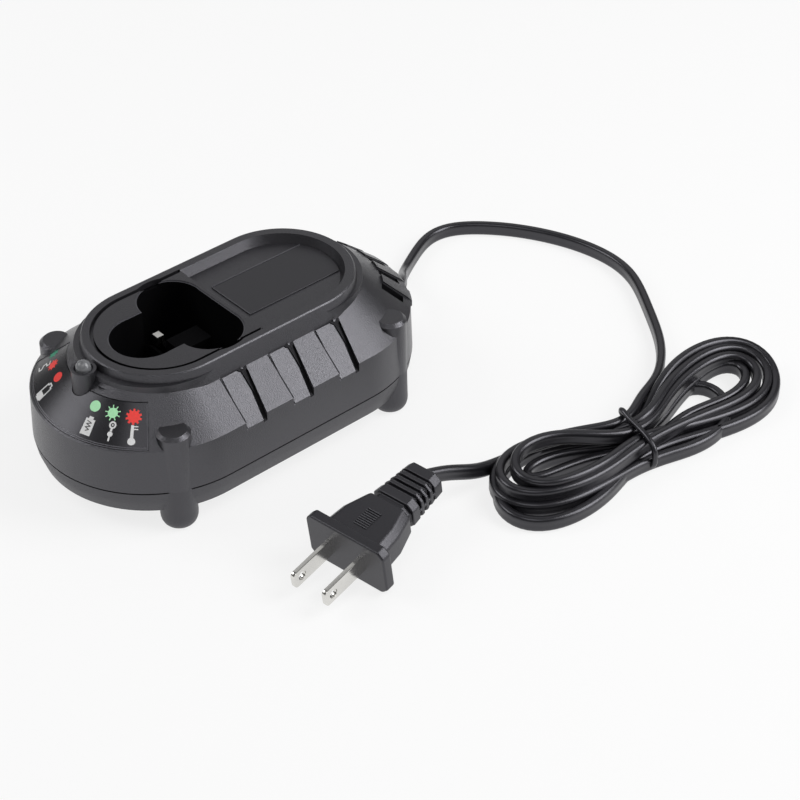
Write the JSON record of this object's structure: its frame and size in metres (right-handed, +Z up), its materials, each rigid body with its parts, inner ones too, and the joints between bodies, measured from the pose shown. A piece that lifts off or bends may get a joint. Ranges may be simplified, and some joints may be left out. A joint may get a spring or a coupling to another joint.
{
  "type": "power tool battery charger",
  "caption": "Tabletop charger for a stem-type tool battery: round-ended housing on posts, three-lobed well, tray, flat cord in a tied hank, flat-blade plug.",
  "frame": {"origin": "centre of the housing's footprint on the table, between the four feet", "axes": "+Z up; Y along the housing, the tail with the cord towards +Y and the nose with the status light towards -Y; +X to the side on which the plug lies"},
  "size_m": [0.1644, 0.235, 0.0512],
  "materials": {
    "housing": "fine spark texture, black",
    "lower_housing": "fine spark texture, black",
    "well": "satin black",
    "label_film": "semi-gloss black film",
    "lamp": "clear dome",
    "board": "solder-masked laminate",
    "ferrite": "dull ferrite",
    "coil_tape": "yellow film tape",
    "capacitor_sleeve": "shrunk sleeve",
    "copper": "enamelled wire",
    "fuse_body": "sleeved fuse",
    "component": "moulded package",
    "sink": "mill finish",
    "red_wire": "insulated wire",
    "dark_wire": "insulated wire",
    "screw": "zinc plated",
    "contact": "nickel plated",
    "plate": "blank plate",
    "cord_sheath": "satin flexible sheath",
    "plug_moulding": "satin moulding",
    "blade": "nickel plated"
  },
  "bodies": {
    "root": {"top_shell": "housing", "bottom_shell": "lower_housing", "battery_well": "well", "terminal_block": "well", "terminals": "contact", "tray_label": "label_film", "nose_label": "label_film", "status_light": "lamp", "light_board": "board", "circuit_board": "board", "transformer_core": "ferrite", "transformer_coil": "coil_tape", "input_capacitor": "capacitor_sleeve", "output_capacitors": "capacitor_sleeve", "line_choke": "copper", "line_fuse": "fuse_body", "bridge_rectifier": "component", "heat_sink": "sink", "power_transistor": "component", "output_leads": "red_wire", "mains_leads": "dark_wire", "light_leads": "dark_wire", "board_screws": "screw", "housing_screws": "screw", "rating_plate": "plate", "cord_guard": "plug_moulding", "cord_lead": "cord_sheath", "cord_hank": "cord_sheath", "hank_tie": "plug_moulding", "cord_tail": "cord_sheath", "plug_body": "plug_moulding", "plug_relief": "plug_moulding", "plug_blades": "blade"}
  },
  "joints": []
}
